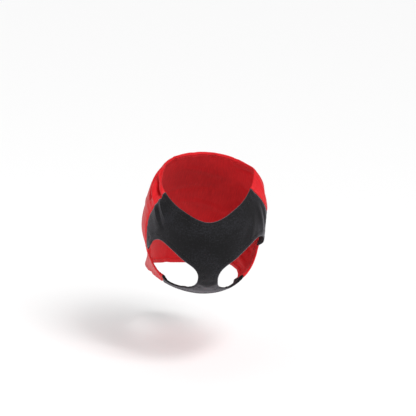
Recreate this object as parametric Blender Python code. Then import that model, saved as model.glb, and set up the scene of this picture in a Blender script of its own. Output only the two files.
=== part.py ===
# A sleeveless dog jacket, size S, in the form it has on a sitting dog. Two cloth panels
# are sewn together: a red back panel that wraps over the back and flanks, and a black
# chest panel that runs from the neckline between the forelegs to the belly. On each side
# a shoulder seam runs from the neckline to the armhole and a side seam from there to the
# hem, so each armhole is cut half in one panel and half in the other.
#
# Frame: +Z is up, the wearer looks along -Y, and +X is the wearer's left. The origin is
# on the inside of the back panel, at the middle of its neckline.
#
# A place on the cloth is given by down, in millimetres from the top section along the
# side of the body, and by angle, in degrees round the body from the middle of the back,
# positive on the wearer's left. 180 is the middle of the chest.

import math
from collections import namedtuple

import bmesh
import bpy
from mathutils import Vector
from mathutils.geometry import delaunay_2d_cdt

MM = 0.001

# Cloth and sewing, in millimetres.
CLOTH_THICKNESS = 1.4
SEAM_GAP = 0.3

# Size of the triangles on the flat cut, in millimetres, and how near to an edge the
# inner ones stay, as a share of that.
MESH_PITCH = 5.0
EDGE_CLEARANCE = 0.62
ROW_STEP = MESH_PITCH * math.sqrt(3) / 2

# One degree round the body is about this many millimetres of cloth.
ROUND_MM = 1.13

# The body form under the cloth: closed rings across the body, one every SECTION_PITCH.
# The back and chest points lie in the plane of symmetry.
SECTION_PITCH = 18.0
Section = namedtuple("Section", "back_y back_z chest_y chest_z half_width")
SECTIONS = (
    Section(0, 0, -74, -34, 50),
    Section(9, -11, -88, -50, 60),
    Section(20, -24, -97, -67, 65),
    Section(34, -39, -102, -84, 67),
    Section(49, -56, -102, -102, 67),
    Section(63, -73, -95, -119, 63),
    Section(77, -91, -78, -134, 57),
    Section(90, -110, -52, -145, 51),
    Section(102, -129, -25, -155, 48),
    Section(112, -148, 4, -166, 47),
    Section(120, -166, 32, -178, 46),
    Section(126, -184, 58, -192, 45),
)

# Edges that run round the body: how far down they lie at each angle, the same on both
# sides. The neckline is scooped at the chest, and the hem is longest over the tail.
EdgePoint = namedtuple("EdgePoint", "angle down")
NECKLINE = (
    EdgePoint(0, 0),
    EdgePoint(30, 0),
    EdgePoint(60, 0),
    EdgePoint(90, 0.5),
    EdgePoint(120, 5),
    EdgePoint(150, 15),
    EdgePoint(180, 25),
)
HEM = (
    EdgePoint(0, 172),
    EdgePoint(30, 169),
    EdgePoint(60, 159),
    EdgePoint(90, 145),
    EdgePoint(120, 131),
    EdgePoint(150, 126),
    EdgePoint(180, 126),
)

# Seams that run down the body, the same on both sides.
SeamPoint = namedtuple("SeamPoint", "down angle")
SHOULDER_SEAM = (
    SeamPoint(0, 121),
    SeamPoint(22, 112),
    SeamPoint(44, 103.3),
    SeamPoint(66, 105.5),
    SeamPoint(88, 103.5),
)
SIDE_SEAM = (
    SeamPoint(113, 127),
    SeamPoint(121, 129),
    SeamPoint(129, 130),
)

# The edge of an armhole, from the shoulder seam round its front and the inside of the
# foreleg to the side seam, and on round its rear. The first JOIN_ROW rows end the chest
# panel's share of it.
ArmholePoint = namedtuple("ArmholePoint", "down angle")
ARMHOLE = (
    ArmholePoint(88, 103.5),
    ArmholePoint(73, 113.5),
    ArmholePoint(61, 120.5),
    ArmholePoint(56, 130),
    ArmholePoint(59.5, 142),
    ArmholePoint(67, 154.5),
    ArmholePoint(76, 167),
    ArmholePoint(88, 170.5),
    ArmholePoint(102, 166),
    ArmholePoint(113, 151),
    ArmholePoint(117, 138),
    ArmholePoint(113, 127),
    ArmholePoint(105, 115),
    ArmholePoint(98, 107.5),
)
JOIN_ROW = 11
ARC_STEP = 0.2
RUN_STEPS = 24

# How the jacket has slipped on the wearer's chest, in degrees round to the wearer's right
# at the middle of the chest, and in millimetres up on the left and down on the right.
SLIP_ROUND = 5.0
SLIP_UP = 5.8

# Folds, as soft ridges (+) and troughs (-) along a line: width is from the middle to
# where the fold has mostly died away, and height is how far it lifts the cloth, in
# millimetres. Negative angles are on the wearer's right.
Fold = namedtuple("Fold", "down_a angle_a down_b angle_b width height")
FOLDS = (
    # gathered cloth on the wearer's right shoulder, running over the seam
    Fold(-8, -52, 30, -98, 5.5, -2.4),
    Fold(-6, -82, 26, -114, 4.8, -2.4),
    Fold(-4, -98, 44, -136, 5.5, 1.8),
    Fold(20, -104, 56, -128, 5.5, 1.2),
    # drag lines from the wearer's right armhole
    Fold(62, -112, 28, -150, 6.0, -0.8),
    Fold(92, -102, 62, -48, 7.0, -1.4),
    # the wearer's left shoulder and flank
    Fold(-12, 76, 26, 88, 15.0, 3.4),
    Fold(4, 66, 50, 96, 6.0, -1.6),
    Fold(8, 118, 60, 122, 7.0, 1.0),
    Fold(90, 100, 54, 44, 7.0, -1.3),
    # the sides pulled in by the upper foreleg
    Fold(36, 102, 104, 100, 15.0, -4.0),
    Fold(2, -98, 62, -102, 18.0, -1.8),
    Fold(2, -77, 76, -79, 16.0, -2.2),
    Fold(82, -84, 128, -84, 14.0, -3.4),
    # the chest
    Fold(48, -172, 26, 140, 7.0, 0.7),
    # the waist and the rear
    Fold(100, -84, 116, -20, 7.0, -1.7),
    Fold(104, 76, 112, 14, 7.5, -1.6),
    Fold(128, -60, 134, 22, 8.0, -1.3),
    Fold(132, 88, 178, 50, 8.0, 1.6),
    Fold(128, -92, 180, -44, 8.0, 1.6),
)

# Colour (linear) and roughness of each panel's cloth.
RED_CLOTH = ((0.69, 0.038, 0.044), 0.5)
BLACK_CLOTH = ((0.017, 0.017, 0.019), 0.85)


def smooth_between(rows, place):
    """The values at this place along evenly spaced rows, on a smooth curve through them."""
    last = len(rows) - 1
    i = min(max(math.floor(place), 0), last - 1)
    u = place - i
    here, there = rows[i], rows[i + 1]
    before = rows[i - 1] if i > 0 else [2 * a - b for a, b in zip(here, there)]
    after = rows[i + 2] if i + 2 <= last else [2 * b - a for a, b in zip(here, there)]
    return [
        b + 0.5 * u * (c - a + u * (2 * a - 5 * b + 4 * c - d + u * (3 * (b - c) + d - a)))
        for a, b, c, d in zip(before, here, there, after)
    ]


def edge_down(edge, angle):
    """How far down a neckline or hem lies at an angle. It is level at both middles."""
    rows = edge[1:2] + edge + edge[-2:-1]
    from_back = min(abs(angle), abs(360 - angle))
    return smooth_between(rows, 1 + from_back / (edge[1].angle - edge[0].angle))[1]


def seam_angle(seam, down):
    """The angle of a seam at this distance down."""
    return smooth_between(seam, (down - seam[0].down) / (seam[1].down - seam[0].down))[1]


def turned_near(angle, other):
    """The same angle, written as the value nearest to another."""
    return angle + 360 * round((other - angle) / 360)


def fold_height(down, angle):
    """How far all the folds together lift the cloth at this place."""
    total = 0.0
    for fold in FOLDS:
        end = turned_near(fold.angle_b, fold.angle_a)
        run = Vector((fold.down_b - fold.down_a, (end - fold.angle_a) * ROUND_MM))
        place = turned_near(angle, (fold.angle_a + end) / 2)
        here = Vector((down - fold.down_a, (place - fold.angle_a) * ROUND_MM))
        along = here.dot(run) / run.length_squared
        across = here.cross(run) / run.length
        if 0 < along < 1:
            total += fold.height * math.sin(math.pi * along) * math.exp(-((across / fold.width) ** 2))
    return total


def body_point(down, angle):
    """A point of the body form."""
    section = Section(*smooth_between(SECTIONS, down / SECTION_PITCH))
    back = Vector((0, section.back_y, section.back_z))
    chest = Vector((0, section.chest_y, section.chest_z))
    turn = math.radians(angle)
    sideways = Vector((section.half_width * math.sin(turn), 0, 0))
    return (back + chest) / 2 + (back - chest) / 2 * math.cos(turn) + sideways


def slipped(down, angle):
    """Where a place of the cut comes to lie on the wearer."""
    chest = math.sin(math.radians(angle / 2)) ** 2
    up = SLIP_UP * math.sin(math.radians(angle)) * chest
    return down - up, angle + SLIP_ROUND * chest ** 3


def cloth_point(down, angle, outward):
    """A point of the cloth, this far outside its inner face."""
    here = body_point(down, angle)
    ahead = body_point(down + 0.5, angle) - here
    beside = body_point(down, angle + 0.5) - here
    normal = beside.cross(ahead).normalized()
    return here + normal * (outward + fold_height(down, angle))


def armhole_run(first, last):
    """The armhole's edge from one table row to another, as (down, angle) points."""
    closed = ARMHOLE[-1:] + ARMHOLE + ARMHOLE[:2]
    count = round(abs(last - first) / ARC_STEP)
    places = [1 + first + (last - first) * k / count for k in range(count + 1)]
    return [tuple(smooth_between(closed, place)) for place in places]


def evenly(run):
    """Points about one pitch apart along an open run on the flat cut, both ends kept."""
    flat = [Vector((down, angle * ROUND_MM)) for down, angle in run]
    lengths = [0.0]
    for a, b in zip(flat, flat[1:]):
        lengths.append(lengths[-1] + (b - a).length)
    count = max(1, round(lengths[-1] / MESH_PITCH))
    points = []
    k = 0
    for i in range(count + 1):
        wanted = lengths[-1] * i / count
        while k < len(flat) - 2 and lengths[k + 1] < wanted:
            k += 1
        points.append(flat[k].lerp(flat[k + 1], (wanted - lengths[k]) / (lengths[k + 1] - lengths[k])))
    return points


def half_outline(middle):
    """One side of a panel's flat cut, from its middle at the neckline to its middle at
    the hem. middle is 0 for the back panel and 180 for the chest panel."""
    toward = 1 if middle else -1
    clear = toward * SEAM_GAP / 2 / ROUND_MM
    shares = [k / RUN_STEPS for k in range(RUN_STEPS + 1)]

    shoulder = SHOULDER_SEAM[0].angle
    shoulder = seam_angle(SHOULDER_SEAM, edge_down(NECKLINE, shoulder))
    side = SIDE_SEAM[-1].angle
    neck_angles = [middle + (shoulder + clear - middle) * share for share in shares]
    hem_angles = [side + clear + (middle - side - clear) * share for share in shares]
    top, joint = edge_down(NECKLINE, shoulder + clear), SHOULDER_SEAM[-1].down
    shoulder_downs = [top + (joint - top) * share for share in shares]
    joint, bottom = SIDE_SEAM[0].down, edge_down(HEM, side + clear)
    side_downs = [joint + (bottom - joint) * share for share in shares]

    arc = armhole_run(0 if middle else len(ARMHOLE), JOIN_ROW)
    arc[0] = (arc[0][0], arc[0][1] + clear)
    arc[-1] = (arc[-1][0], arc[-1][1] + clear)
    runs = (
        [(edge_down(NECKLINE, angle), angle) for angle in neck_angles],
        [(down, seam_angle(SHOULDER_SEAM, down) + clear) for down in shoulder_downs],
        arc,
        [(down, seam_angle(SIDE_SEAM, down) + clear) for down in side_downs],
        [(edge_down(HEM, angle), angle) for angle in hem_angles],
    )
    points = [evenly(run)[0:-1] for run in runs]
    return sum(points, []) + evenly(runs[-1])[-1:]


def inside(point, outline):
    hit = False
    for a, b in zip(outline, outline[1:] + outline[:1]):
        if (a.y > point.y) != (b.y > point.y):
            if point.x < a.x + (point.y - a.y) * (b.x - a.x) / (b.y - a.y):
                hit = not hit
    return hit


def flat_cut(outline):
    """Fills a closed outline with near-equal triangles: returns points and faces."""
    points = list(outline)
    count = len(outline)
    edges = [(k, (k + 1) % count) for k in range(count)]
    low = Vector((min(p.x for p in outline), min(p.y for p in outline)))
    high = Vector((max(p.x for p in outline), max(p.y for p in outline)))
    rows = math.ceil((high.x - low.x) / ROW_STEP)
    columns = math.ceil((high.y - low.y) / MESH_PITCH)
    for row in range(rows):
        for column in range(columns + 1):
            shift = 0.5 * (row % 2)
            point = Vector((low.x + row * ROW_STEP, low.y + (column - shift) * MESH_PITCH))
            if not inside(point, outline):
                continue
            if min((point - edge).length for edge in outline) > EDGE_CLEARANCE * MESH_PITCH:
                points.append(point)
    points, _, faces, *_ = delaunay_2d_cdt(points, edges, [], 0, 1e-5)
    middles = [sum((points[i] for i in face), Vector((0, 0))) / 3 for face in faces]
    return points, [face for face, middle in zip(faces, middles) if inside(middle, outline)]


def make_cloth(name, colour, roughness):
    cloth = bpy.data.materials.new(name)
    cloth.use_nodes = True
    shader = cloth.node_tree.nodes["Principled BSDF"]
    shader.inputs["Base Color"].default_value = (*colour, 1)
    shader.inputs["Roughness"].default_value = roughness
    shader.inputs["Metallic"].default_value = 0
    return cloth


def make_panel(name, middle, cloth):
    """A cloth wall: the flat cut wrapped round the body as an inner and an outer face."""
    half = half_outline(middle)
    mirrored = [Vector((p.x, 2 * middle * ROUND_MM - p.y)) for p in reversed(half[1:-1])]
    points, faces = flat_cut(half + mirrored)

    mesh = bmesh.new()
    inner, outer = (
        [mesh.verts.new(cloth_point(*slipped(p.x, p.y / ROUND_MM), out) * MM) for p in points]
        for out in (0, CLOTH_THICKNESS)
    )
    sides = {(a, b) for face in faces for a, b in zip(face, list(face[1:]) + [face[0]])}
    for face in faces:
        mesh.faces.new([outer[i] for i in face])
        mesh.faces.new([inner[i] for i in reversed(face)])
    for a, b in sides:
        if (b, a) not in sides:
            mesh.faces.new([outer[b], outer[a], inner[a], inner[b]])
    bmesh.ops.recalc_face_normals(mesh, faces=mesh.faces)

    data = bpy.data.meshes.new(name)
    mesh.to_mesh(data)
    mesh.free()
    data.shade_smooth()
    data.set_sharp_from_angle(angle=math.radians(60))
    data.materials.append(cloth)
    panel = bpy.data.objects.new(name, data)
    bpy.context.scene.collection.objects.link(panel)


for old in list(bpy.data.objects):
    bpy.data.objects.remove(old, do_unlink=True)
make_panel("back_panel", 0, make_cloth("red_polyester", *RED_CLOTH))
make_panel("chest_panel", 180, make_cloth("black_jersey", *BLACK_CLOTH))
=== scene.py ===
import math

import bmesh
import bpy
from mathutils import Matrix, Vector
from mathutils.kdtree import KDTree


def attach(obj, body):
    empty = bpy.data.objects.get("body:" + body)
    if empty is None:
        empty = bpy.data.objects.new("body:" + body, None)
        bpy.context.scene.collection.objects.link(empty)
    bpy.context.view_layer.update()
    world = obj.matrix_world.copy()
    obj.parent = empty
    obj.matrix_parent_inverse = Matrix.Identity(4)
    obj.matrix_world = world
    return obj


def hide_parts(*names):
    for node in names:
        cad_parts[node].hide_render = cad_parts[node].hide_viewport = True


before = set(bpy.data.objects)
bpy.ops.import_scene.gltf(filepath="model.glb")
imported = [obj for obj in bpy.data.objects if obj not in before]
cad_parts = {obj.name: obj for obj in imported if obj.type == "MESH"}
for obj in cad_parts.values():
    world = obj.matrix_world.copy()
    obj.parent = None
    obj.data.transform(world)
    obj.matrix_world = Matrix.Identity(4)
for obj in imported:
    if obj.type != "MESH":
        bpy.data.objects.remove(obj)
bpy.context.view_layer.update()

# A sleeveless dog jacket: a red polyester back panel over the back and flanks, and a
# black jersey chest panel that runs between the forelegs to the belly.
# The sizes are in millimetres and the same as the ones that the solids were built from.
# A place on the cloth is (down, angle): down from the neckline along the side of the
# body, and angle round it from the middle of the back, positive on the wearer's left.

mm = 0.001
wavePeriod = 0.314           # of a wave texture whose scale is 1

body = {
    "thickness": 1.4,        # of the cloth
    "roundMm": 1.13,         # cloth per degree round the body
    "slipRound": 5.0,        # how the jacket has slipped on the chest: degrees round
    "slipUp": 5.8,           # and up on the left, down on the right
    "foldReach": 2.5,        # how many of its widths a fold reaches on each side
    "probe": 0.5,            # mm and degrees to the places that give the surface's slope
    "heart": (0, -0.03, -0.08),  # a place inside the hollow, in metres
    "sectionPitch": 18.0,
    # backY, backZ, chestY, chestZ, halfWidth
    "sections": [
        (0, 0, -74, -34, 50),
        (9, -11, -88, -50, 60),
        (20, -24, -97, -67, 65),
        (34, -39, -102, -84, 67),
        (49, -56, -102, -102, 67),
        (63, -73, -95, -119, 63),
        (77, -91, -78, -134, 57),
        (90, -110, -52, -145, 51),
        (102, -129, -25, -155, 48),
        (112, -148, 4, -166, 47),
        (120, -166, 32, -178, 46),
        (126, -184, 58, -192, 45),
    ],
}

cut = {
    # angle, down
    "neckline": [(0, 0), (30, 0), (60, 0), (90, 0.5), (120, 5), (150, 15), (180, 25)],
    "hem": [(0, 172), (30, 169), (60, 159), (90, 145), (120, 131), (150, 126), (180, 126)],
    # down, angle
    "shoulderSeam": [(0, 121), (22, 112), (44, 103.3), (66, 105.5), (88, 103.5)],
    "sideSeam": [(113, 127), (121, 129), (129, 130)],
    "armhole": [
        (88, 103.5), (73, 113.5), (61, 120.5), (56, 130), (59.5, 142), (67, 154.5), (76, 167),
        (88, 170.5), (102, 166), (113, 151), (117, 138), (113, 127), (105, 115), (98, 107.5),
    ],
    "joinRow": 11,           # the armhole's row where the side seam starts
}

# Folds: downA, angleA, downB, angleB, width, height. Troughs are negative.
# The large ones are the same as the solids have.
largeFolds = [
    (-8, -52, 30, -98, 5.5, -2.4),
    (-6, -82, 26, -114, 4.8, -2.4),
    (-4, -98, 44, -136, 5.5, 1.8),
    (20, -104, 56, -128, 5.5, 1.2),
    (62, -112, 28, -150, 6.0, -0.8),
    (92, -102, 62, -48, 7.0, -1.4),
    (-12, 76, 26, 88, 15.0, 3.4),
    (4, 66, 50, 96, 6.0, -1.6),
    (8, 118, 60, 122, 7.0, 1.0),
    (90, 100, 54, 44, 7.0, -1.3),
    (36, 102, 104, 100, 15.0, -4.0),
    (2, -98, 62, -102, 18.0, -1.8),
    (2, -77, 76, -79, 16.0, -2.2),
    (82, -84, 128, -84, 14.0, -3.4),
    (48, -172, 26, 140, 7.0, 0.7),
    (100, -84, 116, -20, 7.0, -1.7),
    (104, 76, 112, 14, 7.5, -1.6),
    (128, -60, 134, 22, 8.0, -1.3),
    (132, 88, 178, 50, 8.0, 1.6),
    (128, -92, 180, -44, 8.0, 1.6),
]
creases = [
    # tucks on the wearer's right shoulder, and their ridges that run on over the seam
    (6, -57, 32, -97, 3.6, -7.2),
    (6, -68, 18, -124, 2.5, -6.4),
    (12, -106, 19, -119, 1.6, -1.6),
    (8, -62, 28, -110, 2.6, 2.2),
    (3, -88, 19, -120, 2.0, 1.6),
    (12, -112, 37, -132, 1.4, 1.7),
    (20, -113, 45, -128, 2.8, -0.9),
    (22, -104, 47, -127, 2.0, 0.8),
    (33, -134, 58, -115, 1.9, 0.5),
    (29, -78, 36, -106, 1.7, 0.6),
    (39, -82, 44, -104, 1.7, 0.45),
    (50, -74, 60, -102, 2.4, -0.4),
    # the wearer's left shoulder and front
    (0, 88, 31, 108, 2.2, 0.7),
    (2, 80, 36, 104, 2.4, -0.8),
    (12, 127, 56, 124, 3.2, 0.8),
    (18, 113, 52, 119, 2.4, 0.7),
    (15, 120, 54, 121.5, 2.4, -0.7),
    (24, 134, 58, 146, 3.0, 0.45),
    (28, 142, 56, 156, 3.0, -0.35),
    (33, 150, 45, 179, 2.6, 0.4),
    (52, 196, 33, 222, 3.0, 0.35),
    # where the chest turns under
    (86, 166, 102, 190, 4.5, 1.0),
    (102, 176, 88, 204, 4.5, 1.0),
    # drag lines from both armholes
    (96, 104, 70, 62, 3.4, -1.8),
    (100, 100, 84, 56, 3.2, -1.4),
    (104, 106, 108, 60, 3.4, 1.4),
    (112, 118, 128, 74, 3.7, -1.6),
    (60, 96, 46, 40, 3.4, 1.0),
    (22, 92, 34, 50, 3.9, -1.2),
    (12, 78, 22, 36, 3.4, 1.0),
    (94, -100, 66, -58, 3.2, -1.6),
    (99, -98, 88, -50, 3.7, 1.4),
    (106, -108, 122, -62, 3.4, -1.8),
    (64, -94, 50, -50, 3.9, -1.2),
    (46, -88, 62, -30, 3.0, 0.8),
    (70, 158, 57, 140, 2.4, -0.4),
    (64, 192, 94, 186, 3.0, -0.4),
    (72, 202, 60, 218, 2.4, 0.4),
    # the back and the waist
    (30, -24, 44, 30, 4.6, -1.0),
    (70, -34, 62, 26, 3.9, 1.1),
    (84, -18, 92, 42, 3.7, -1.2),
    (112, -40, 106, 12, 3.4, 1.1),
    (118, -6, 125, 50, 3.7, -1.2),
    (146, -30, 141, 24, 3.9, 1.0),
    (154, -10, 159, 40, 3.4, -1.0),
    (0, -40, 15, -33, 3.4, 1.2),
    (-2, -12, 17, -8, 3.7, -1.0),
    (0, 16, 14, 14, 3.4, 1.1),
    (-2, 46, 17, 38, 3.7, -1.2),
    # flutes in the rear hem and the belly
    (136, 70, 178, 66, 4.8, 1.8),
    (142, 22, 182, 26, 5.3, -1.8),
    (138, -22, 180, -17, 5.3, 1.6),
    (136, -62, 176, -70, 4.8, -1.8),
    (130, 102, 158, 97, 4.4, 1.4),
    (132, -104, 158, -99, 4.1, -1.4),
    (112, 150, 121, 190, 2.8, -0.5),
    (106, 140, 117, 168, 2.4, 0.4),
    (107, 222, 118, 196, 2.4, -0.5),
]


def smoothBetween(rows, place):  # the values at a place along evenly spaced rows
    last = len(rows) - 1
    i = min(max(math.floor(place), 0), last - 1)
    u = place - i
    here, there = rows[i], rows[i + 1]
    before = rows[i - 1] if i > 0 else [2 * a - b for a, b in zip(here, there)]
    after = rows[i + 2] if i + 2 <= last else [2 * b - a for a, b in zip(here, there)]
    return [
        b + 0.5 * u * (c - a + u * (2 * a - 5 * b + 4 * c - d + u * (3 * (b - c) + d - a)))
        for a, b, c, d in zip(before, here, there, after)
    ]


def edgeDown(edge, angle):  # how far down the neckline or hem lies at an angle
    rows = edge[1:2] + edge + edge[-2:-1]
    fromBack = min(abs(angle), abs(360 - angle))
    return smoothBetween(rows, 1 + fromBack / (edge[1][0] - edge[0][0]))[1]


def seamAngle(seam, down):
    return smoothBetween(seam, (down - seam[0][0]) / (seam[1][0] - seam[0][0]))[1]


def turnedNear(angle, other):
    return angle + 360 * round((other - angle) / 360)


def spread(first, last, count):  # evenly spaced values
    return [first + (last - first) * (k / count) for k in range(count + 1)]


def bell(off, width):
    return math.exp(-((off / width) ** 2))


def foldTable(folds):  # each fold with what foldHeight would work out again and again
    table = []
    for downA, angleA, downB, angleB, width, height in folds:
        end = turnedNear(angleB, angleA)
        runDown, runRound = downB - downA, (end - angleA) * body["roundMm"]
        square = runDown ** 2 + runRound ** 2
        reach = body["foldReach"] * width
        table.append((min(downA, downB) - reach, max(downA, downB) + reach,
                      (downA, angleA, runDown, runRound, (angleA + end) / 2, square,
                       math.sqrt(square), width, height, reach)))
    return table


allFolds = foldTable(largeFolds + creases)


def foldHeight(down, angle):
    total = 0.0
    for low, high, fold in allFolds:
        if not low < down < high:
            continue
        downA, angleA, runDown, runRound, middle, square, length, width, height, reach = fold
        x = down - downA
        y = (turnedNear(angle, middle) - angleA) * body["roundMm"]
        across = (x * runRound - y * runDown) / length
        if -reach < across < reach:
            along = (x * runDown + y * runRound) / square
            if 0 < along < 1:
                total += height * math.sin(math.pi * along) * bell(across, width)
    return total


def bodyPoint(down, angle):
    backY, backZ, chestY, chestZ, halfWidth = smoothBetween(
        body["sections"], down / body["sectionPitch"])
    turn = math.radians(angle)
    c, s = math.cos(turn), math.sin(turn)
    return Vector((halfWidth * s,
                   (backY + chestY) / 2 + (backY - chestY) / 2 * c,
                   (backZ + chestZ) / 2 + (backZ - chestZ) / 2 * c))


def slipped(down, angle):  # where a place of the cut comes to lie on the wearer
    chest = math.sin(math.radians(angle / 2)) ** 2
    up = body["slipUp"] * math.sin(math.radians(angle)) * chest
    return down - up, angle + body["slipRound"] * chest ** 3


def clothPoint(down, angle, outward):  # in metres, this far out from the inner face
    down, angle = slipped(down, angle)
    here = bodyPoint(down, angle)
    ahead = bodyPoint(down + body["probe"], angle) - here
    beside = bodyPoint(down, angle + body["probe"]) - here
    normal = beside.cross(ahead).normalized()
    return (here + normal * (outward + foldHeight(down, angle))) * mm


def armholeRun(first, last, steps):  # (down, angle) points along part of the armhole
    closed = cut["armhole"][-1:] + cut["armhole"] + cut["armhole"][:2]
    count = round(abs(last - first) * steps)
    return [tuple(smoothBetween(closed, 1 + first + (last - first) * k / count))
            for k in range(count + 1)]


def flat(down, angle):  # a place on the flat cut, in mm: x round the body, y down
    return Vector((angle * body["roundMm"], down))


def addObject(name, data):
    thing = bpy.data.objects.new(name, data)
    bpy.context.scene.collection.objects.link(thing)
    return thing


camera = {
    "aim": (0.0, -0.040, -0.070),
    "azimuth": -11.0,
    "elevation": 13.5,
    "roll": 3.0,
    "distance": 2.0,
    "sensor": 36.0,
    "pixels": 416,           # across the picture
    "mmPerPixel": 1.088,     # at the aim point
    "right": 1.4,            # how far the frame's middle is from the aim point, in mm
    "up": 16.5,
    "clip": (0.05, 20.0),
}


def makeCamera():
    a, e, roll = (math.radians(camera[k]) for k in ("azimuth", "elevation", "roll"))
    back = Vector((math.sin(a) * math.cos(e), -math.cos(a) * math.cos(e), math.sin(e)))
    right = Vector((math.cos(a), math.sin(a), 0))
    up = back.cross(right)
    data = bpy.data.cameras.new("photoCamera")
    data.sensor_width = camera["sensor"]
    seen = camera["pixels"] * camera["mmPerPixel"] * mm
    data.lens = camera["sensor"] * camera["distance"] / seen
    data.clip_start, data.clip_end = camera["clip"]
    eye = addObject("photoCamera", data)
    place = Vector(camera["aim"]) + (right * camera["right"] + up * camera["up"]) * mm
    place += back * camera["distance"]
    turnedRight = right * math.cos(roll) + up * math.sin(roll)
    turnedUp = up * math.cos(roll) - right * math.sin(roll)
    turn = Matrix((turnedRight, turnedUp, back)).transposed()
    eye.matrix_world = Matrix.Translation(place) @ turn.to_4x4()
    bpy.context.scene.camera = eye


makeCamera()
print("camera made")


def linear(hexColour):  # from sRGB
    values = [int(hexColour[i:i + 2], 16) / 255 for i in (1, 3, 5)]
    lit = [v / 12.92 if v <= 0.04045 else ((v + 0.055) / 1.055) ** 2.4 for v in values]
    return (*lit, 1.0)


def addNode(tree, kind, settings=None, links=None):
    node = tree.nodes.new(kind)
    for key, value in (settings or {}).items():
        if isinstance(key, str) and hasattr(node, key):
            setattr(node, key, value)
        else:
            node.inputs[key].default_value = value
    for key, source in (links or {}).items():
        tree.links.new(source, node.inputs[key])
    return node


def newMaterial(name, surface):  # surface: constant values of the shader's sockets
    material = bpy.data.materials.new(name)
    material.use_nodes = True
    tree = material.node_tree
    shader = tree.nodes["Principled BSDF"]
    for socket, value in surface.items():
        shader.inputs[socket].default_value = value
    return material, tree, shader


polyester = {
    "dark": "#bb0d17",
    "colour": "#c8121b",
    "light": "#d21d24",
    "stops": (0.52, 0.75, 0.98),  # where the three colours lie between the noise's low and high
    "threadMm": 1.1,         # real threads are 0.3 mm apart: drawn coarser so that they show
    "threadWander": 0.6,
    "streakMm": 1.3,         # width of the streaks down the warp
    "streakStretch": 0.12,   # their width for their length
    "streakRough": 0.6,
    "patchMm": 25.0,
    "patchShare": 0.5,
    "streakHeight": 2.0,     # for a thread's height of 1
    "bump": 0.3,
    "bumpMm": 0.2,
    "roughness": 0.5,
    "insideRoughness": 0.75,
    "surface": {"IOR": 1.5, "Specular IOR Level": 0.25, "Sheen Weight": 0.06, "Sheen Roughness": 0.4},
}


def makePolyester(name, roughness):  # woven polyester: smooth, a little satiny, streaked down the warp
    material, tree, shader = newMaterial(name, {**polyester["surface"], "Roughness": roughness})
    uv = addNode(tree, "ShaderNodeUVMap", {"uv_map": "flatCut"}).outputs["UV"]
    stretch = addNode(tree, "ShaderNodeMapping", {"Scale": (1.0, polyester["streakStretch"], 1.0)},
                      {"Vector": uv})
    streaks = addNode(tree, "ShaderNodeTexNoise",
                      {"Scale": 1 / polyester["streakMm"], "Detail": 3.0,
                       "Roughness": polyester["streakRough"]},
                      {"Vector": stretch.outputs["Vector"]})
    patches = addNode(tree, "ShaderNodeTexNoise", {"Scale": 1 / polyester["patchMm"], "Detail": 2.0},
                      {"Vector": uv})
    both = addNode(tree, "ShaderNodeMath", {"operation": "MULTIPLY_ADD", 1: polyester["patchShare"]},
                   {0: patches.outputs["Fac"], 2: streaks.outputs["Fac"]})
    ramp = addNode(tree, "ShaderNodeValToRGB", {}, {"Fac": both.outputs["Value"]})
    low, middle, high = polyester["stops"]
    ramp.color_ramp.elements[0].position = low
    ramp.color_ramp.elements[0].color = linear(polyester["dark"])
    ramp.color_ramp.elements[1].position = high
    ramp.color_ramp.elements[1].color = linear(polyester["light"])
    ramp.color_ramp.elements.new(middle).color = linear(polyester["colour"])
    tree.links.new(ramp.outputs["Color"], shader.inputs["Base Color"])
    threads = {"Scale": wavePeriod / polyester["threadMm"], "Distortion": polyester["threadWander"],
               "Detail": 1.0}
    warp = addNode(tree, "ShaderNodeTexWave", {"bands_direction": "X", **threads}, {"Vector": uv})
    weft = addNode(tree, "ShaderNodeTexWave", {"bands_direction": "Y", **threads}, {"Vector": uv})
    weave = addNode(tree, "ShaderNodeMath", {"operation": "MULTIPLY"},
                    {0: warp.outputs["Fac"], 1: weft.outputs["Fac"]})
    height = addNode(tree, "ShaderNodeMath", {"operation": "MULTIPLY_ADD", 1: polyester["streakHeight"]},
                     {0: streaks.outputs["Fac"], 2: weave.outputs["Value"]})
    bump = addNode(tree, "ShaderNodeBump",
                   {"Strength": polyester["bump"], "Distance": polyester["bumpMm"] * mm},
                   {"Height": height.outputs["Value"]})
    tree.links.new(bump.outputs["Normal"], shader.inputs["Normal"])
    return material


jersey = {
    "dark": "#040405",
    "colour": "#080809",
    "light": "#1b1b1f",
    "stops": (0.5, 0.78, 1.0),
    "ribMm": 1.3,            # real ribs are 0.6 mm wide: drawn coarser so that they show
    "ribWander": 1.2,
    "fleckMm": 1.6,
    "patchMm": 20.0,
    "patchShare": 0.6,
    "fleckHeight": 1.5,      # for a rib's height of 1
    "bump": 0.35,
    "bumpMm": 0.3,
    "sheen": 0.5,
    "insideSheen": 0.1,
    "sheenColour": "#cbc7d0",
    "surface": {"Roughness": 0.8, "Specular IOR Level": 0.15, "Sheen Roughness": 0.45},
}


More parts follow.
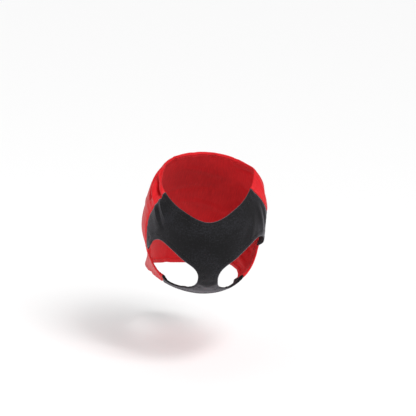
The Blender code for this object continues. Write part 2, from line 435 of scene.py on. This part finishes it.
def makeJersey(name, sheen):  # fine knitted jersey: matte black, with a pale sheen where it turns away
    material, tree, shader = newMaterial(name, {**jersey["surface"], "Sheen Weight": sheen,
                                                "Sheen Tint": linear(jersey["sheenColour"])})
    uv = addNode(tree, "ShaderNodeUVMap", {"uv_map": "flatCut"}).outputs["UV"]
    flecks = addNode(tree, "ShaderNodeTexNoise", {"Scale": 1 / jersey["fleckMm"], "Detail": 2.0},
                     {"Vector": uv})
    patches = addNode(tree, "ShaderNodeTexNoise", {"Scale": 1 / jersey["patchMm"], "Detail": 2.0},
                      {"Vector": uv})
    both = addNode(tree, "ShaderNodeMath", {"operation": "MULTIPLY_ADD", 1: jersey["patchShare"]},
                   {0: patches.outputs["Fac"], 2: flecks.outputs["Fac"]})
    ramp = addNode(tree, "ShaderNodeValToRGB", {}, {"Fac": both.outputs["Value"]})
    low, middle, high = jersey["stops"]
    ramp.color_ramp.elements[0].position = low
    ramp.color_ramp.elements[0].color = linear(jersey["dark"])
    ramp.color_ramp.elements[1].position = high
    ramp.color_ramp.elements[1].color = linear(jersey["light"])
    ramp.color_ramp.elements.new(middle).color = linear(jersey["colour"])
    tree.links.new(ramp.outputs["Color"], shader.inputs["Base Color"])
    ribs = addNode(tree, "ShaderNodeTexWave",
                   {"bands_direction": "X", "Scale": wavePeriod / jersey["ribMm"],
                    "Distortion": jersey["ribWander"], "Detail": 2.0}, {"Vector": uv})
    height = addNode(tree, "ShaderNodeMath", {"operation": "MULTIPLY_ADD", 1: jersey["fleckHeight"]},
                     {0: flecks.outputs["Fac"], 2: ribs.outputs["Fac"]})
    bump = addNode(tree, "ShaderNodeBump", {"Strength": jersey["bump"], "Distance": jersey["bumpMm"] * mm},
                   {"Height": height.outputs["Value"]})
    tree.links.new(bump.outputs["Normal"], shader.inputs["Normal"])
    return material


redCloth = makePolyester("wovenPolyester", polyester["roughness"])
redInside = makePolyester("wovenPolyesterInside", polyester["insideRoughness"])
blackCloth = makeJersey("blackJersey", jersey["sheen"])
blackInside = makeJersey("blackJerseyInside", jersey["insideSheen"])
print("materials made")


sewing = {
    "hemWidth": 7.0,         # of the turned hem
    "hemLift": 0.3,          # how much prouder the doubled cloth stands
    "hemInside": 1.0,        # how much thicker the doubled cloth is inside
    "stitchLine": 6.0,       # from the edge
    "stitchDip": 0.4,
    "stitchWidth": 0.8,
    "edgeRound": 1.6,        # the last part of an edge, which is rolled
    "edgeDip": 0.9,
    "edgeThinner": 1.3,
    "seamDip": 1.1,
    "seamWidth": 1.4,
    "seamGap": -0.1,         # the sewn edges press together
    "seamAllowance": 6.0,
    "seamInside": 0.8,       # how much thicker the allowances are inside
    "stepSoftness": 0.3,     # of the step where doubled cloth ends
    "pucker": 0.22,          # the small ripples that the stitches pull
    # their pitch, drift, drift's pitch and swell's pitch: mm along for a radian, drift in radians
    "hemRipple": (1.15, 1.7, 9.0, 13.0),
    "hemRippleWidth": 2.6,
    "seamRipple": (1.3, 1.9, 11.0, 7.0),
    "seamRippleWidth": 2.4,
    "seamRippleFrom": 2.2,   # the seam to where they are highest
    # the lines that stand for the sewing on the flat cut
    "backSpan": (-140, 140),
    "chestSpan": (103, 257),
    "sideRun": 20,           # down the side seam and on past the hem
    "lineSteps": 300,
    "armholeSteps": 30,      # for each row of the armhole's table
    "pointPitch": 0.2,
}


def cutLines(middle):  # the lines of the sewing on a panel's flat cut
    steps = sewing["lineSteps"]
    angles = spread(*(sewing["chestSpan"] if middle else sewing["backSpan"]), steps)
    neck = [flat(edgeDown(cut["neckline"], a), a) for a in angles]
    hem = [flat(edgeDown(cut["hem"], a), a) for a in angles]
    armhole = armholeRun(0, len(cut["armhole"]), sewing["armholeSteps"])
    joint, low = cut["shoulderSeam"][-1][0], cut["sideSeam"][0][0]
    shoulder = [(d, seamAngle(cut["shoulderSeam"], d)) for d in spread(0, joint, steps)]
    side = [(d, seamAngle(cut["sideSeam"], d)) for d in spread(low, low + sewing["sideRun"], steps)]
    armholes, shoulders, sides = (
        [[flat(d, a) for d, a in run], [flat(d, 2 * middle - a) for d, a in run]]
        for run in (armhole, shoulder, side))
    return {"hems": [neck, hem] + armholes, "seams": shoulders + sides}


def treeOf(lines):  # closely spaced points of some lines, and how far along its line each is
    points = []
    for line in lines:
        run = 0.0
        for a, b in zip(line, line[1:]):
            steps = max(1, round((b - a).length / sewing["pointPitch"]))
            for k in range(steps):
                points.append((a.lerp(b, k / steps), run + (b - a).length * k / steps))
            run += (b - a).length
        points.append((line[-1], run))
    tree = KDTree(len(points))
    for i, (point, _) in enumerate(points):
        tree.insert((point.x, point.y, 0), i)
    tree.balance()
    return tree, [run for _, run in points]


def nearest(lines, place):  # how far the nearest line is, and how far along that line
    _, i, far = lines[0].find((place.x, place.y, 0))
    return far, lines[1][i]


def doubled(beyond):  # 1 where the cloth is doubled, 0 beyond, with a soft step between
    return 1 / (1 + math.exp(min(max(beyond / sewing["stepSoftness"], -40), 40)))


def ripple(run, pitch, drift, driftPitch, swellPitch):  # uneven, as a machine's stitches pull it
    wave = math.sin(run / pitch + drift * math.sin(run / driftPitch))
    return wave * (0.6 + 0.4 * math.sin(run / swellPitch))


def sewnHeight(place, hemTree, seamTree):  # lift of the outer face, and the wall's thickness
    far, run = nearest(hemTree, place)
    onHem = doubled(far - sewing["hemWidth"])
    fromStitches = far - sewing["stitchLine"]
    lift = sewing["hemLift"] * onHem
    lift -= sewing["stitchDip"] * bell(fromStitches, sewing["stitchWidth"])
    wave = ripple(run, *sewing["hemRipple"])
    lift += sewing["pucker"] * wave * bell(fromStitches, sewing["hemRippleWidth"])
    thick = body["thickness"] + sewing["hemInside"] * onHem
    if far < sewing["edgeRound"]:
        rolled = (1 - far / sewing["edgeRound"]) ** 2
        lift -= sewing["edgeDip"] * rolled
        thick -= sewing["edgeThinner"] * rolled
    far, run = nearest(seamTree, place)
    lift -= sewing["seamDip"] * bell(far, sewing["seamWidth"])
    wave = ripple(run, *sewing["seamRipple"])
    lift += sewing["pucker"] * wave * bell(far - sewing["seamRippleFrom"], sewing["seamRippleWidth"])
    thick += sewing["seamInside"] * doubled(far - sewing["seamAllowance"])
    return lift, thick


def bendPanel(mesh, name, middle, outside, inside):  # bends a flat cut round the body
    lines = cutLines(middle)
    hemTree, seamTree = treeOf(lines["hems"]), treeOf(lines["seams"])
    uvLayer = mesh.loops.layers.uv.new("flatCut")
    for face in mesh.faces:
        for loop in face.loops:
            loop[uvLayer].uv = loop.vert.co.xy
    area = sum(face.calc_area() for face in mesh.faces)
    wallLayer = mesh.verts.layers.deform.new()
    thickest = body["thickness"] + sewing["hemInside"] + sewing["seamInside"]
    for vert in mesh.verts:
        place = vert.co.xy
        lift, thick = sewnHeight(place, hemTree, seamTree)
        vert.co = clothPoint(place.y, place.x / body["roundMm"], body["thickness"] + lift)
        vert[wallLayer][0] = min(thick / thickest, 1)
    mesh.normal_update()
    heart = Vector(body["heart"])
    if sum(f.normal.dot(f.calc_center_median() - heart) for f in mesh.faces) < 0:
        bmesh.ops.reverse_faces(mesh, faces=mesh.faces)
    data = bpy.data.meshes.new(name)
    mesh.to_mesh(data)
    mesh.free()
    data.shade_smooth()
    data.materials.append(outside)
    data.materials.append(inside)
    panel = addObject(name, data)
    panel.vertex_groups.new(name="wall")
    wall = panel.modifiers.new("wall", "SOLIDIFY")
    wall.thickness = thickest * mm
    wall.offset = -1.0
    wall.use_even_offset = False
    wall.vertex_group = "wall"
    wall.material_offset = 1
    wall.material_offset_rim = 1
    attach(panel, "root")
    return panel, area * mm * mm


backPanel = {
    "columns": 240,
    "rows": 156,
    "closerRight": 0.25,     # how much closer the columns stand on the wearer's right
    "closerTop": 0.38,       # and the rows at the neckline, where the sharpest folds are
    "armholeSteps": 40,
    "sideAngles": (60.0, 150.0),  # the side edge lies between them
    "halvings": 26,          # of that span, to find the edge
}


def makeBackPanel():
    rear = armholeRun(len(cut["armhole"]), cut["joinRow"], backPanel["armholeSteps"])
    clear = sewing["seamGap"] / 2 / body["roundMm"]

    def sideAngle(down):  # the panel's side edge: shoulder seam, armhole, side seam
        if down <= rear[0][0]:
            return seamAngle(cut["shoulderSeam"], down) - clear
        for (downA, angleA), (downB, angleB) in zip(rear, rear[1:]):
            if downA <= down <= downB:
                return angleA + (angleB - angleA) * (down - downA) / (downB - downA) - clear
        return seamAngle(cut["sideSeam"], down) - clear

    def downAt(angle, share):  # a share of the way from the neckline to the hem
        top = edgeDown(cut["neckline"], angle)
        return top + (edgeDown(cut["hem"], angle) - top) * share

    def rowEnd(share):  # the angle where a row meets the side edge
        low, high = backPanel["sideAngles"]
        for _ in range(backPanel["halvings"]):
            angle = (low + high) / 2
            inside = angle < sideAngle(downAt(angle, share))
            low, high = (angle, high) if inside else (low, angle)
        return (low + high) / 2

    mesh = bmesh.new()
    bmesh.ops.create_grid(mesh, x_segments=backPanel["columns"], y_segments=backPanel["rows"], size=1.0)
    ends = {}
    for vert in mesh.verts:
        share = (1 - vert.co.y) / 2
        share = round(share * (1 - backPanel["closerTop"] * (1 - share)), 6)
        if share not in ends:
            ends[share] = rowEnd(share)
        angle = ends[share] * (vert.co.x - backPanel["closerRight"] * (1 - vert.co.x ** 2))
        vert.co = (angle * body["roundMm"], downAt(angle, share), 0)
    panel, area = bendPanel(mesh, "back_cloth", 0, redCloth, redInside)
    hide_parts("back_panel")
    return panel, area


chestPanel = {
    "pitch": 0.9,            # of the grid that the panel is cut from
    "edgeSteps": 80,
    "armholeSteps": 12,
    "smoothings": 5,         # of the grid inside its edge
}


def chestOutline():  # the chest panel's cut on the wearer's left, then on their right
    neckline, hem = cut["neckline"], cut["hem"]
    shoulderSeam, sideSeam = cut["shoulderSeam"], cut["sideSeam"]
    clear = sewing["seamGap"] / 2 / body["roundMm"]
    shoulder = seamAngle(shoulderSeam, edgeDown(neckline, shoulderSeam[0][1])) + clear
    side = sideSeam[-1][1] + clear
    top, bottom = edgeDown(neckline, shoulder), edgeDown(hem, side)
    joint, low = shoulderSeam[-1][0], sideSeam[0][0]
    steps = chestPanel["edgeSteps"]
    arc = armholeRun(0, cut["joinRow"], chestPanel["armholeSteps"])
    arc[0], arc[-1] = (arc[0][0], arc[0][1] + clear), (arc[-1][0], arc[-1][1] + clear)
    runs = [
        [(edgeDown(neckline, a), a) for a in spread(180, shoulder, steps)],
        [(d, seamAngle(shoulderSeam, d) + clear) for d in spread(top, joint, steps)],
        arc,
        [(d, seamAngle(sideSeam, d) + clear) for d in spread(low, bottom, steps)],
        [(edgeDown(hem, a), a) for a in spread(side, 180, steps)],
    ]
    left = [[flat(d, a) for d, a in run] for run in runs]
    right = [[flat(d, 360 - a) for d, a in reversed(run)] for run in reversed(runs)]
    return left + right


def insideLoop(point, loop):
    hit = False
    for a, b in zip(loop, loop[1:] + loop[:1]):
        if (a.y > point.y) != (b.y > point.y):
            if point.x < a.x + (point.y - a.y) * (b.x - a.x) / (b.y - a.y):
                hit = not hit
    return hit


def makeChestPanel():
    runs = chestOutline()
    loop = sum(runs, [])
    edgeTree, _ = treeOf(runs)
    pitch = chestPanel["pitch"]
    left, right = min(p.x for p in loop), max(p.x for p in loop)
    top, bottom = min(p.y for p in loop), max(p.y for p in loop)
    columns, rows = (math.ceil(span / pitch) + 1 for span in (right - left, bottom - top))
    mesh = bmesh.new()
    bmesh.ops.create_grid(mesh, x_segments=columns, y_segments=rows, size=0.5)
    bmesh.ops.scale(mesh, verts=mesh.verts, vec=(columns * pitch, -rows * pitch, 1))
    bmesh.ops.translate(mesh, verts=mesh.verts, vec=((left + right) / 2, (top + bottom) / 2, 0))
    out = [f for f in mesh.faces if not insideLoop(f.calc_center_median().xy, loop)]
    bmesh.ops.delete(mesh, geom=out, context="FACES")
    rim = [v for v in mesh.verts if v.is_boundary]
    for vert in rim:
        vert.co = edgeTree.find(vert.co)[0]
    for corner in [run[0] for run in runs] + [run[-1] for run in runs]:  # keeps the corners sharp
        near = min(rim, key=lambda v: (v.co.xy - corner).length)
        near.co = (corner.x, corner.y, 0)
    inner = [v for v in mesh.verts if not v.is_boundary]
    for _ in range(chestPanel["smoothings"]):
        bmesh.ops.smooth_vert(mesh, verts=inner, factor=0.5, use_axis_x=True, use_axis_y=True)
    panel, area = bendPanel(mesh, "chest_cloth", 180, blackCloth, blackInside)
    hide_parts("chest_panel")
    return panel, area


backCloth, backArea = makeBackPanel()
print("back panel made, flat area", round(backArea, 5))
chestCloth, chestArea = makeChestPanel()
print("chest panel made, flat area", round(chestArea, 5))


stitches = {
    "pitch": 3.2,            # a stitch and the gap after it
    "length": 2.6,
    "width": 0.75,           # real thread is 0.35 mm thick: drawn thicker so that it shows
    "height": 0.55,
    "raised": 0.05,          # the middle of a stitch above the cloth
    "segments": (6, 4),      # round a stitch, and from its top to its underside
    "clearOfSeam": 1.6,
    "crowding": 0.15,        # how much nearer than its line a stitch may come to another edge
    "probe": 0.4,            # to the places that give the cloth's slope
    "batch": 800,            # corners in a batch, because adding to a big mesh is slow
    "twistMm": 0.9,
    "twistWander": 0.5,
    "bump": 0.4,
    "bumpMm": 0.1,
    "red": ("#b2121a", "#d0242a"),
    "black": ("#060607", "#151517"),
    "surface": {"Roughness": 0.45, "IOR": 1.5, "Specular IOR Level": 0.3},
}


def makeThread(name, colours):  # polyester sewing thread: twisted, a little glossy
    material, tree, shader = newMaterial(name, stitches["surface"])
    place = addNode(tree, "ShaderNodeTexCoord").outputs["Object"]
    twist = addNode(tree, "ShaderNodeTexWave",
                    {"bands_direction": "DIAGONAL", "Scale": wavePeriod / (stitches["twistMm"] * mm),
                     "Distortion": stitches["twistWander"]}, {"Vector": place})
    ramp = addNode(tree, "ShaderNodeValToRGB", {}, {"Fac": twist.outputs["Fac"]})
    for element, colour in zip(ramp.color_ramp.elements, colours):
        element.color = linear(colour)
    tree.links.new(ramp.outputs["Color"], shader.inputs["Base Color"])
    bump = addNode(tree, "ShaderNodeBump",
                   {"Strength": stitches["bump"], "Distance": stitches["bumpMm"] * mm},
                   {"Height": twist.outputs["Fac"]})
    tree.links.new(bump.outputs["Normal"], shader.inputs["Normal"])
    return material


def stitchLines(lines, hemTree):  # the hems' stitch lines, as evenly spaced places and directions
    for line, side in zip(lines["hems"], (1, -1, -1, 1)):
        run, offset = stitches["pitch"], []
        for a, b in zip(line, line[1:]):
            if (b - a).length > 1e-6:
                along = (b - a).normalized()
                offset.append((a + Vector((-along.y, along.x)) * side * sewing["stitchLine"], along))
        for (a, _), (b, along) in zip(offset, offset[1:]):
            run += (b - a).length
            far, _ = nearest(hemTree, b)
            if run >= stitches["pitch"] and far > sewing["stitchLine"] - stitches["crowding"]:
                run = 0.0
                yield b, along


def sideSeamAngle(down):  # where the back panel ends, straight across the armhole
    upper, lower = cut["shoulderSeam"][-1], cut["sideSeam"][0]
    if down <= upper[0]:
        return seamAngle(cut["shoulderSeam"], down)
    if down >= lower[0]:
        return seamAngle(cut["sideSeam"], down)
    return upper[1] + (lower[1] - upper[1]) * (down - upper[0]) / (lower[0] - upper[0])


def stitchPlace(spot, along, out):  # a unit ball's matrix that makes it a stitch on the cloth
    across = Vector((-along.y, along.x))
    here, ahead, beside = (
        clothPoint(p.y, p.x / body["roundMm"], out)
        for p in (spot, spot + along * stitches["probe"], spot + across * stitches["probe"]))
    run = (ahead - here).normalized()
    up = run.cross(beside - here).normalized()
    turn = Matrix((run * stitches["length"], up.cross(run) * stitches["width"],
                   up * stitches["height"])).transposed() * (mm / 2)
    return Matrix.Translation(here) @ turn.to_4x4()


def makeStitches(name, middle, material):
    lines = cutLines(middle)
    hemTree, seamTree = treeOf(lines["hems"]), treeOf(lines["seams"])
    around, over = stitches["segments"]
    mesh, batch = bmesh.new(), bmesh.new()
    sewn = bpy.data.meshes.new(name)
    for spot, along in stitchLines(lines, hemTree):
        fromBack = abs(turnedNear(spot.x / body["roundMm"], 0))
        if (fromBack > sideSeamAngle(spot.y)) != (middle == 180):
            continue
        if nearest(seamTree, spot)[0] < stitches["clearOfSeam"]:
            continue
        lift, thick = sewnHeight(spot, hemTree, seamTree)
        for out in (lift + stitches["raised"], lift - thick - stitches["raised"]):  # both faces
            bmesh.ops.create_uvsphere(batch, u_segments=around, v_segments=over, radius=1.0,
                                      matrix=stitchPlace(spot, along, out + body["thickness"]))
        if len(batch.verts) > stitches["batch"]:
            batch.to_mesh(sewn)
            mesh.from_mesh(sewn)
            batch.clear()
    batch.to_mesh(sewn)
    mesh.from_mesh(sewn)
    batch.free()
    bmesh.ops.recalc_face_normals(mesh, faces=mesh.faces)
    mesh.to_mesh(sewn)
    mesh.free()
    sewn.shade_smooth()
    sewn.materials.append(material)
    thread = addObject(name, sewn)
    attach(thread, "root")
    return thread


redThread = makeStitches("red_stitches", 0, makeThread("redThread", stitches["red"]))
blackThread = makeStitches("black_stitches", 180, makeThread("blackThread", stitches["black"]))
print("hems stitched")


studio = {
    "floor": -0.232,
    "floorHalf": 6.0,        # half its width
    "paper": "#fafafa",
    "paperRoughness": 0.95,
    "world": "#ffffff",
    "worldStrength": 0.42,
    "sunTowards": (-0.38, 1.0, -1.2),
    "sun": 2.5,
    "sunAngle": 30.0,
    "boxAim": (0, -0.05, -0.1),
    "boxSize": 0.7,
    # place, power
    "leftBox": ((-1.6, -1.0, 0.3), 10),
    "rightBox": ((1.6, -1.0, 0.3), 5),
}


def makeStudio():
    mesh = bmesh.new()
    bmesh.ops.create_grid(mesh, x_segments=1, y_segments=1, size=studio["floorHalf"])
    bmesh.ops.translate(mesh, verts=mesh.verts, vec=(0, 0, studio["floor"]))
    data = bpy.data.meshes.new("floor")
    mesh.to_mesh(data)
    mesh.free()
    floor = addObject("floor", data)
    # matte paper: plain and pale
    paper, _, _ = newMaterial("whitePaper", {"Base Color": linear(studio["paper"]),
                                             "Roughness": studio["paperRoughness"]})
    data.materials.append(paper)
    world = bpy.data.worlds.new("studio")
    world.use_nodes = True
    bpy.context.scene.world = world
    background = world.node_tree.nodes["Background"]
    background.inputs["Color"].default_value = linear(studio["world"])
    background.inputs["Strength"].default_value = studio["worldStrength"]


def addLamp(name, data, back):  # shines the opposite way to back
    lamp = addObject(name, data)
    lamp.rotation_mode = "QUATERNION"
    lamp.rotation_quaternion = back.to_track_quat("Z", "Y")
    return lamp


def makeSun():  # a large soft light from far away
    data = bpy.data.lights.new("key", "SUN")
    data.energy, data.angle = studio["sun"], math.radians(studio["sunAngle"])
    addLamp("key", data, -Vector(studio["sunTowards"]))


def makeSoftBox(name):
    place, power = studio[name]
    data = bpy.data.lights.new(name, "AREA")
    data.shape, data.size, data.energy = "DISK", studio["boxSize"], power
    lamp = addLamp(name, data, Vector(place) - Vector(studio["boxAim"]))
    lamp.location = place


makeStudio()
makeSun()
makeSoftBox("leftBox")
makeSoftBox("rightBox")
bpy.context.scene.view_settings.view_transform = "Standard"
print("studio made")
